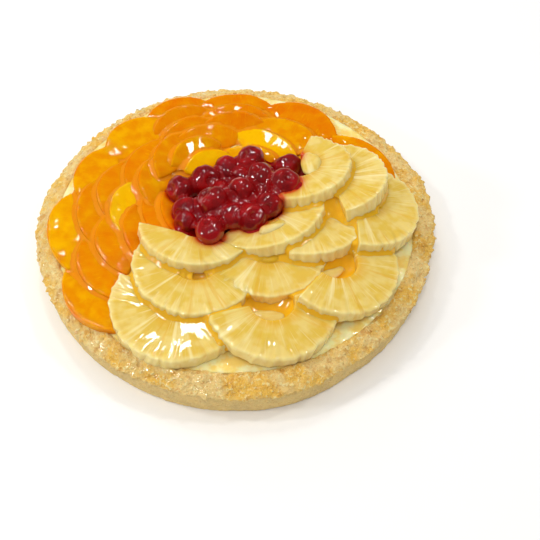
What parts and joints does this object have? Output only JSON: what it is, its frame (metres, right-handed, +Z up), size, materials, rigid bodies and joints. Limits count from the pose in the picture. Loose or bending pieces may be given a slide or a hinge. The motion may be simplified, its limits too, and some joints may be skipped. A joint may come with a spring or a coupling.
{
  "type": "fruit tart",
  "caption": "Round fruit tart: a baked crust filled with cream, topped with overlapping peach slices, pineapple half rings and a pile of glazed cherries.",
  "frame": {"origin": "centre of the bounding box at the flat underside of the crust, where the tart rests", "axes": "+Z up, -Y towards the viewer of the picture with the pineapple side, +X to the right of the picture"},
  "size_m": [0.2558, 0.2548, 0.0559],
  "materials": {
    "crust": "baked shortcrust, dry and grainy, golden on the rim and pale at the side",
    "cream": "soft pastry cream under clear glaze",
    "peach": "wet canned peach under clear glaze",
    "pineapple": "wet fibrous pineapple under clear glaze",
    "cherry": "glossy translucent candied cherry"
  },
  "bodies": {
    "root": {"crust": "crust", "cream": "cream", "peach_01": "peach", "peach_02": "peach", "peach_03": "peach", "peach_04": "peach", "peach_05": "peach", "peach_06": "peach", "peach_07": "peach", "peach_08": "peach", "peach_09": "peach", "peach_10": "peach", "peach_11": "peach", "peach_12": "peach", "peach_13": "peach", "peach_14": "peach", "peach_15": "peach", "peach_16": "peach", "peach_17": "peach", "peach_18": "peach", "peach_19": "peach", "peach_20": "peach", "peach_21": "peach", "peach_22": "peach", "peach_23": "peach", "peach_24": "peach", "peach_25": "peach", "peach_26": "peach", "peach_27": "peach", "peach_28": "peach", "peach_29": "peach", "pineapple_01": "pineapple", "pineapple_02": "pineapple", "pineapple_03": "pineapple", "pineapple_04": "pineapple", "pineapple_05": "pineapple", "pineapple_06": "pineapple", "pineapple_07": "pineapple", "pineapple_08": "pineapple", "pineapple_09": "pineapple", "pineapple_10": "pineapple", "pineapple_11": "pineapple", "cherry_01": "cherry", "cherry_02": "cherry", "cherry_03": "cherry", "cherry_04": "cherry", "cherry_05": "cherry", "cherry_06": "cherry", "cherry_07": "cherry", "cherry_08": "cherry", "cherry_09": "cherry", "cherry_10": "cherry", "cherry_11": "cherry", "cherry_12": "cherry", "cherry_13": "cherry", "cherry_14": "cherry", "cherry_15": "cherry", "cherry_16": "cherry", "cherry_17": "cherry", "cherry_18": "cherry"}
  },
  "joints": []
}
